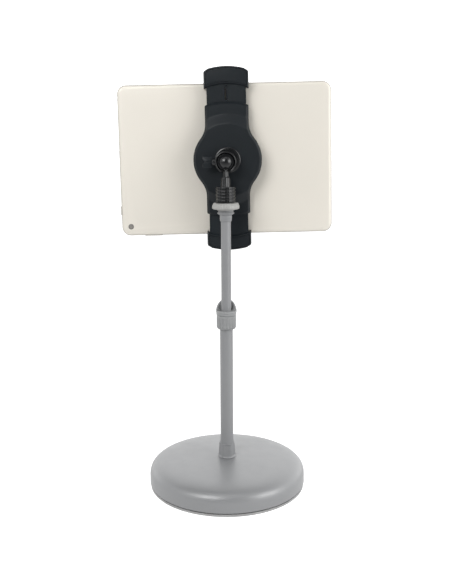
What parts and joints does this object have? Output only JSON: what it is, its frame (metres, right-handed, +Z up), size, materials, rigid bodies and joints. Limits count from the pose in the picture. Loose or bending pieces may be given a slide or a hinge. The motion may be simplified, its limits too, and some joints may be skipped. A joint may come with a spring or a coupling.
{
  "type": "telescoping desk stand with spring tablet clamp",
  "caption": "Desk stand with a round weighted base, a telescoping post, a lock ring and ferrule, a ball joint and a spring-loaded clamp that grips a tablet.",
  "frame": {"origin": "centre of the underside of the round base", "axes": "+Z up along the post; +Y from the back of the clamp, where the ball joint is, towards the tablet's screen; +X to the right when looking at the clamp's back"},
  "size_m": [0.2426, 0.176, 0.4703],
  "materials": {
    "painted_grey": "satin",
    "cast_grey": "rough",
    "sheet_steel": "satin",
    "screw_steel": "satin",
    "rubber_grey": "matt",
    "post_grey": "satin",
    "plastic_grey": "satin",
    "nylon": "satin",
    "zinc": "bright zinc",
    "black_plastic": "fine textured satin",
    "ball_black": "semi gloss",
    "brass": "turned",
    "rubber_black": "matt",
    "spring_steel": "bright",
    "gold_shell": "fine bead blasted",
    "battery": "matt",
    "screen_glass": "polished",
    "lens_metal": "satin",
    "lens_glass": "polished"
  },
  "bodies": {
    "stand": {"base_cover": "painted_grey", "base_weight": "cast_grey", "bottom_plate": "sheet_steel", "plate_screws": "screw_steel", "foot_pad": "rubber_grey", "post_bolt": "screw_steel", "post_washer": "sheet_steel", "post_plug": "sheet_steel", "base_collar": "post_grey", "lower_tube": "post_grey", "clutch_body": "plastic_grey", "clutch_collet": "nylon"},
    "clutch_ring": {"clutch_lever": "plastic_grey"},
    "mast": {"upper_tube": "post_grey", "guide_bush": "nylon", "top_stud": "zinc"},
    "ring": {"lock_ring": "zinc"},
    "ball_post": {"ferrule": "black_plastic", "thread_insert": "brass", "ball_stud": "ball_black"},
    "liner": {"ball_liner": "nylon"},
    "ball_socket": {"socket": "black_plastic", "hub_washer": "sheet_steel", "hub_screw": "screw_steel"},
    "thumb_screw": {"wing_screw": "black_plastic"},
    "housing": {"back_cover": "black_plastic", "front_cover": "black_plastic", "cover_screws": "screw_steel", "front_pads": "rubber_black", "pinion_pin": "screw_steel", "upper_spring": "spring_steel", "lower_spring": "spring_steel"},
    "upper_clamp": {"upper_arm": "black_plastic", "upper_jaw": "black_plastic", "upper_pad": "rubber_black"},
    "lower_clamp": {"lower_arm": "black_plastic", "lower_jaw": "black_plastic", "lower_pad": "rubber_black"},
    "gear": {"pinion": "nylon"},
    "tablet": {"tablet_shell": "gold_shell", "tablet_core": "battery", "tablet_glass": "screen_glass", "lens_ring": "lens_metal", "lens_window": "lens_glass"},
    "power_key": {"power_button": "gold_shell"},
    "volume_key": {"volume_rocker": "gold_shell"}
  },
  "joints": [
    {"name": "clutch_turn", "type": "hinge", "parent": "stand", "child": "clutch_ring", "pos_m": [0, 0, 0.199], "axis": [0, 0, 1], "range_deg": [0, 90]},
    {"name": "mast_slide", "type": "slide", "parent": "stand", "child": "mast", "axis": [0, 0, 1], "range_m": [-0.095, 0.01]},
    {"name": "lock_ring_turn", "type": "hinge", "parent": "mast", "child": "ring", "pos_m": [0, 0, 0.318], "axis": [0, 0, 1], "continuous": true},
    {"name": "head_swivel", "type": "hinge", "parent": "mast", "child": "ball_post", "pos_m": [0, 0, 0.33], "axis": [0, 0, 1], "continuous": true},
    {"name": "ball_tilt", "type": "hinge", "parent": "ball_post", "child": "liner", "pos_m": [0, 0, 0.367], "axis": [1, 0, 0], "range_deg": [-3, 90]},
    {"name": "ball_sway", "type": "hinge", "parent": "liner", "child": "ball_socket", "pos_m": [0, 0, 0.367], "axis": [0, 1, 0], "range_deg": [-6, 6]},
    {"name": "thumb_screw_turn", "type": "hinge", "parent": "ball_socket", "child": "thumb_screw", "pos_m": [-0.017, 0, 0.3667], "axis": [0.9998, 0, 0.0175], "continuous": true},
    {"name": "portrait_turn", "type": "hinge", "parent": "ball_socket", "child": "housing", "pos_m": [0.00238, 0.016, 0.36834], "axis": [0, 1, 0], "range_deg": [-90, 90]},
    {"name": "upper_arm_slide", "type": "slide", "parent": "housing", "child": "upper_clamp", "axis": [-0.0175, 0, 0.9998], "range_m": [0, 0.025], "stiffness_N_per_m": 250, "springref_m": -0.06, "deforming": ["upper_spring"]},
    {"name": "lower_arm_slide", "type": "slide", "parent": "housing", "child": "lower_clamp", "axis": [0.0175, 0, -0.9998], "range_m": [0, 0.025], "stiffness_N_per_m": 250, "springref_m": -0.06, "deforming": ["lower_spring"]},
    {"name": "pinion_turn", "type": "hinge", "parent": "housing", "child": "gear", "pos_m": [0.00238, 0.026, 0.36834], "axis": [0, 1, 0], "range_deg": [0, 358.6]},
    {"name": "tablet_shift", "type": "slide", "parent": "housing", "child": "tablet", "axis": [0.9998, 0, 0.0175], "range_m": [-0.05, 0.05]},
    {"name": "power_press", "type": "slide", "parent": "tablet", "child": "power_key", "axis": [0.9998, 0, 0.0175], "range_m": [0, 0.0003], "stiffness_N_per_m": 1500, "springref_m": -0.0003},
    {"name": "volume_press", "type": "slide", "parent": "tablet", "child": "volume_key", "axis": [-0.0175, 0, 0.9998], "range_m": [0, 0.0003], "stiffness_N_per_m": 1500, "springref_m": -0.0003}
  ],
  "couplings": [
    {"joint": "lower_arm_slide", "follows": "upper_arm_slide", "ratio": 1},
    {"joint": "pinion_turn", "follows": "upper_arm_slide", "rad_per_m": 250}
  ]
}
